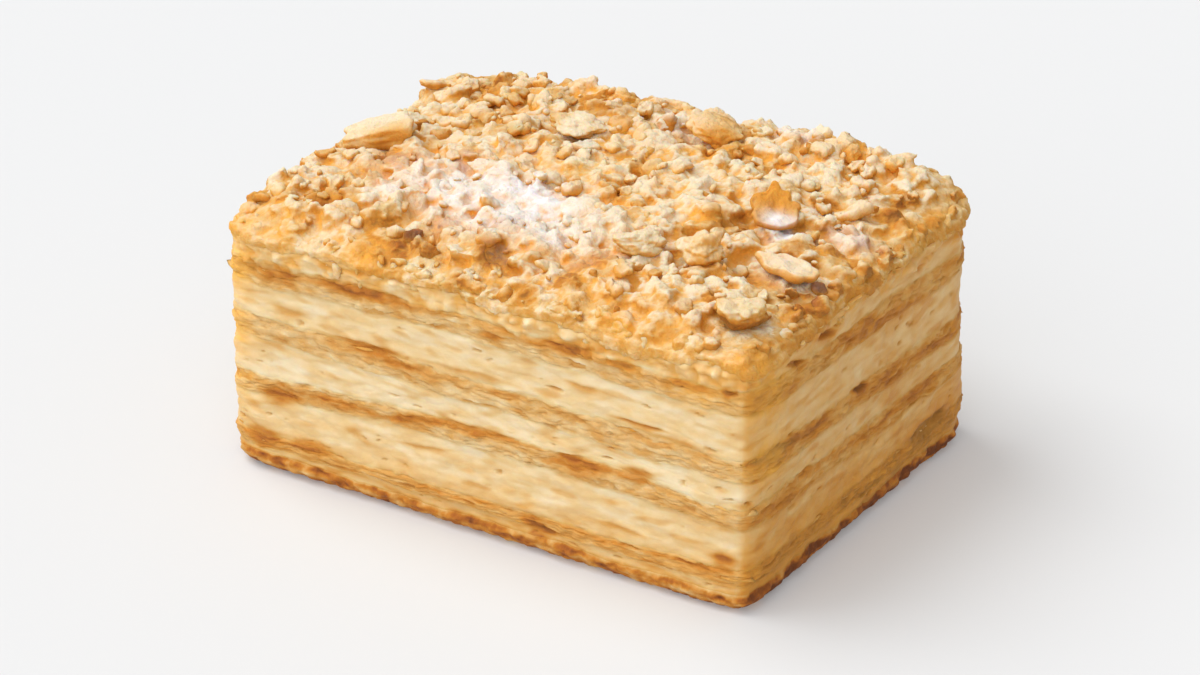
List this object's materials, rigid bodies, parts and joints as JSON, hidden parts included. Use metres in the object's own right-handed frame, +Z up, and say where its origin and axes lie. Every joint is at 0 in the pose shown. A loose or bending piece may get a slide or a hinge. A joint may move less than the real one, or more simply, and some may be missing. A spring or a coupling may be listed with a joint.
{
  "type": "mille feuille slice",
  "caption": "Rectangular cut slice of layered puff pastry and custard cream on a browned crust, covered with pastry crumbs, loose flakes and a dusting of white sugar.",
  "frame": {"origin": "middle of the slice's flat underside, below the middle of its bounding box", "axes": "+X along the slice's long side, +Y across it from the long cut side with the most even strata to the one behind it, +Z up through the layers"},
  "size_m": [0.0968, 0.0722, 0.0492],
  "materials": {
    "crust": "rough, dark golden-brown baked pastry, crumbly",
    "pastry": "golden baked puff pastry with browned leaf edges",
    "cream": "soft, pale yellow custard cream, slightly moist",
    "crumbs": "golden pastry crumbs dusted with white sugar",
    "flake": "light golden-brown dry pastry flake"
  },
  "bodies": {
    "root": {"bottom_crust": "crust", "cream_1": "cream", "pastry_1": "pastry", "cream_2": "cream", "pastry_2": "pastry", "cream_3": "cream", "pastry_3": "pastry", "cream_4": "cream", "pastry_4": "pastry", "cream_5": "cream", "crumb_topping": "crumbs", "flake_1": "flake", "flake_2": "flake", "flake_3": "flake", "flake_4": "flake", "flake_5": "flake", "flake_6": "flake", "flake_7": "flake", "flake_8": "flake"}
  },
  "joints": []
}
